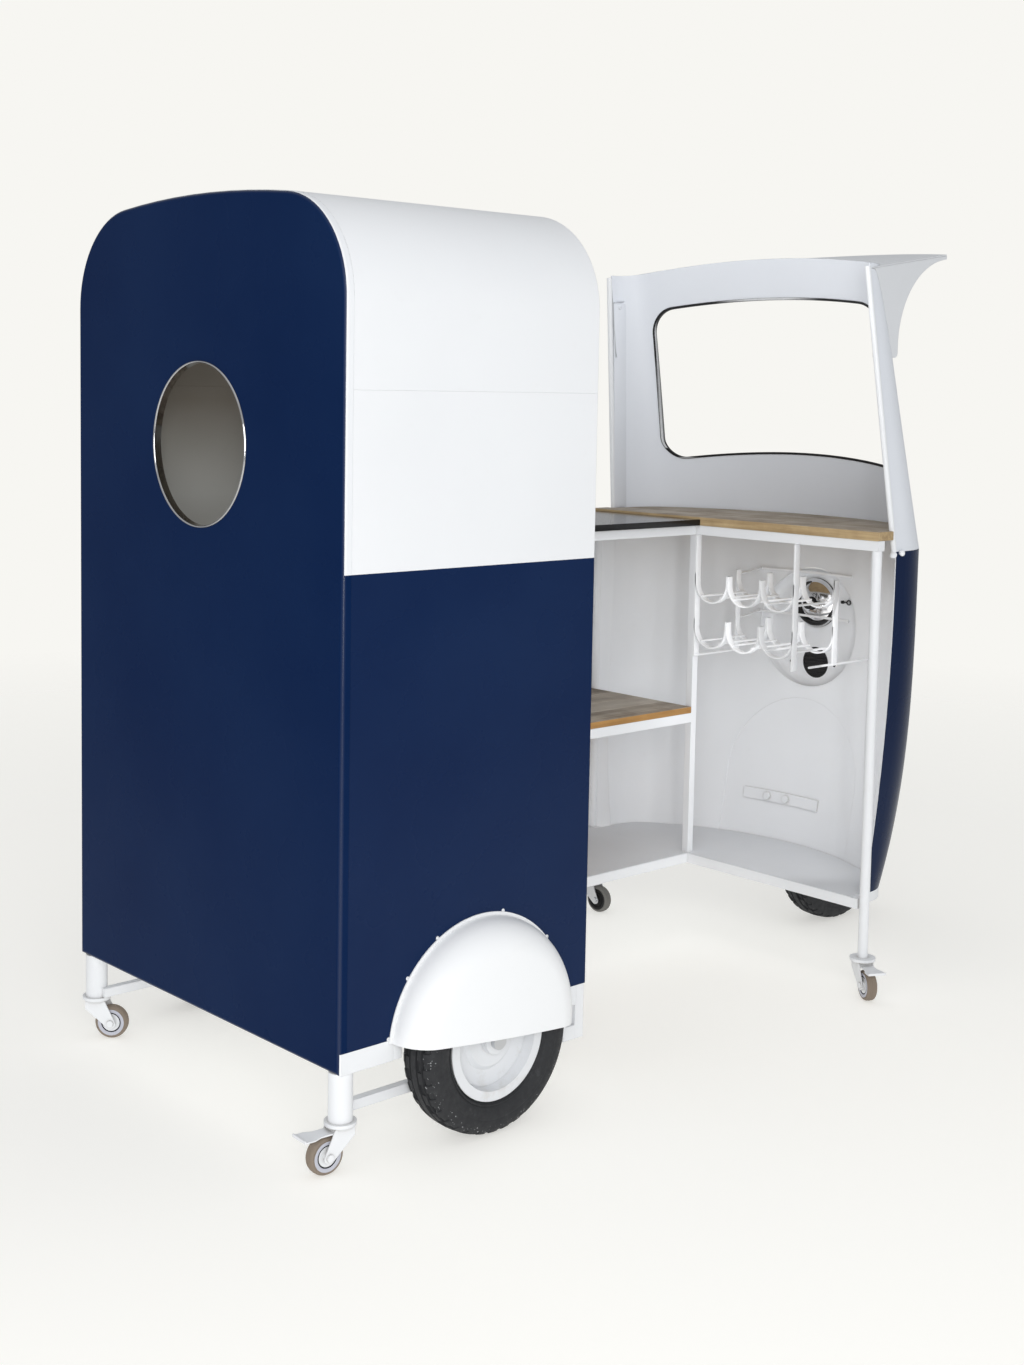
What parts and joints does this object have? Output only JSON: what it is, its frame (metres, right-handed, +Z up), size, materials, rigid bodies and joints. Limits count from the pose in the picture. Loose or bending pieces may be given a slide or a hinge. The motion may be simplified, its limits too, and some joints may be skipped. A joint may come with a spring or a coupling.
{
  "type": "tuk-tuk bar",
  "caption": "Mobile drinks bar built from a three-wheeler cab: rear cabinet with porthole, side counter, bottle rack in the nose, road wheels and swivel castors.",
  "frame": {"origin": "centre of the bounding box on the floor", "axes": "+X towards the nose, +Y towards the side with the counter, +Z up"},
  "size_m": [2.3574, 1.135, 1.853],
  "materials": {
    "navy_paint": "deep navy gloss paint",
    "white_paint": "cool white gloss paint",
    "nose_paint": "white inside and navy outside",
    "rim_paint": "white wheel paint",
    "strap_paint": "white painted flat strap",
    "black_gloss": "polished black counter board",
    "weathered_wood": "weathered planks",
    "tyre": "worn black rubber",
    "castor_tread": "taupe ridged tread",
    "zinc": "zinc plated",
    "bright_trim": "polished bright metal",
    "black_rubber": "black rubber",
    "black_plastic": "black moulding",
    "lens_glass": "clear lamp glass"
  },
  "bodies": {
    "body": {"bar_frame": "white_paint", "black_top": "black_gloss", "bottle_rack": "strap_paint", "bracket_plate": "nose_paint", "bulb_holder": "black_plastic", "cabinet_floor": "white_paint", "cabinet_frame": "white_paint", "cabinet_shelves": "weathered_wood", "castor_plates": "zinc", "floor_plate": "white_paint", "fork_bolts": "zinc", "front_fork": "nose_paint", "front_mudguard": "white_paint", "headlight_bezel": "bright_trim", "headlight_gasket": "black_rubber", "headlight_lens": "lens_glass", "headlight_reflector": "bright_trim", "horn_grille": "black_plastic", "lamp_nacelle": "nose_paint", "lower_side_far": "navy_paint", "lower_side_near": "navy_paint", "mudguard_far": "white_paint", "mudguard_near": "white_paint", "nose_base_rail": "white_paint", "nose_shell": "nose_paint", "pillar_tubes": "white_paint", "porthole_trim": "bright_trim", "rear_axle": "zinc", "rear_legs": "white_paint", "rear_panel": "navy_paint", "roof_hoop": "white_paint", "roof_sheet": "white_paint", "side_skin": "navy_paint", "upper_side_far": "white_paint", "upper_side_near": "white_paint", "visor": "white_paint", "visor_cheeks": "white_paint", "wheel_tub_far": "white_paint", "wheel_tub_near": "white_paint", "windscreen_panel": "white_paint", "windscreen_seal": "black_rubber", "wood_shelf": "weathered_wood", "wood_top": "weathered_wood"},
    "swivel_rear_near": {"castor_fork_rear_near": "zinc"},
    "roller_rear_near": {"castor_wheel_rear_near": "castor_tread"},
    "pedal_rear_near": {"brake_pedal_rear_near": "zinc"},
    "swivel_rear_far": {"castor_fork_rear_far": "zinc"},
    "roller_rear_far": {"castor_wheel_rear_far": "castor_tread"},
    "swivel_front_near": {"castor_fork_front_near": "white_paint"},
    "roller_front_near": {"castor_wheel_front_near": "castor_tread"},
    "pedal_front_near": {"brake_pedal_front_near": "zinc"},
    "swivel_front_far": {"castor_fork_front_far": "zinc"},
    "roller_front_far": {"castor_wheel_front_far": "castor_tread"},
    "wheel_rear_near": {"tyre_rear_near": "tyre", "rim_rear_near": "rim_paint"},
    "wheel_rear_far": {"tyre_rear_far": "tyre", "rim_rear_far": "rim_paint"},
    "wheel_front": {"tyre_front": "tyre", "rim_front": "rim_paint"}
  },
  "joints": [
    {"name": "rear_near_swivel", "type": "hinge", "parent": "body", "child": "swivel_rear_near", "pos_m": [-1.08532, -0.43748, 0.088], "axis": [0, 0, 1], "continuous": true},
    {"name": "rear_near_roll", "type": "hinge", "parent": "swivel_rear_near", "child": "roller_rear_near", "pos_m": [-1.12024, -0.43504, 0.0375], "axis": [-0.0698, -0.9976, 0], "continuous": true},
    {"name": "rear_near_brake", "type": "hinge", "parent": "swivel_rear_near", "child": "pedal_rear_near", "pos_m": [-1.10328, -0.43622, 0.0805], "axis": [-0.0698, -0.9976, 0], "range_deg": [0, 6]},
    {"name": "rear_far_swivel", "type": "hinge", "parent": "body", "child": "swivel_rear_far", "pos_m": [-1.08532, 0.46552, 0.088], "axis": [0, 0, 1], "continuous": true},
    {"name": "rear_far_roll", "type": "hinge", "parent": "swivel_rear_far", "child": "roller_rear_far", "pos_m": [-1.06057, 0.44077, 0.0375], "axis": [0.7071, 0.7071, 0], "continuous": true},
    {"name": "front_near_swivel", "type": "hinge", "parent": "body", "child": "swivel_front_near", "pos_m": [0.49868, -0.47698, 0.088], "axis": [0, 0, 1], "continuous": true},
    {"name": "front_near_roll", "type": "hinge", "parent": "swivel_front_near", "child": "roller_front_near", "pos_m": [0.48065, -0.50698, 0.0375], "axis": [0.8572, -0.515, 0], "continuous": true},
    {"name": "front_near_brake", "type": "hinge", "parent": "swivel_front_near", "child": "pedal_front_near", "pos_m": [0.48941, -0.49241, 0.0805], "axis": [0.8572, -0.515, 0], "range_deg": [0, 6]},
    {"name": "front_far_swivel", "type": "hinge", "parent": "body", "child": "swivel_front_far", "pos_m": [0.49868, 0.46502, 0.088], "axis": [0, 0, 1], "continuous": true},
    {"name": "front_far_roll", "type": "hinge", "parent": "swivel_front_far", "child": "roller_front_far", "pos_m": [0.50112, 0.43011, 0.0375], "axis": [0.9976, 0.0698, 0], "continuous": true},
    {"name": "rear_near_wheel_spin", "type": "hinge", "parent": "body", "child": "wheel_rear_near", "pos_m": [-0.74932, -0.47348, 0.19], "axis": [0, 1, 0], "continuous": true},
    {"name": "rear_far_wheel_spin", "type": "hinge", "parent": "body", "child": "wheel_rear_far", "pos_m": [-0.74932, 0.50152, 0.19], "axis": [0, 1, 0], "continuous": true},
    {"name": "front_wheel_spin", "type": "hinge", "parent": "body", "child": "wheel_front", "pos_m": [0.98868, -0.00598, 0.19], "axis": [0, 1, 0], "continuous": true}
  ]
}
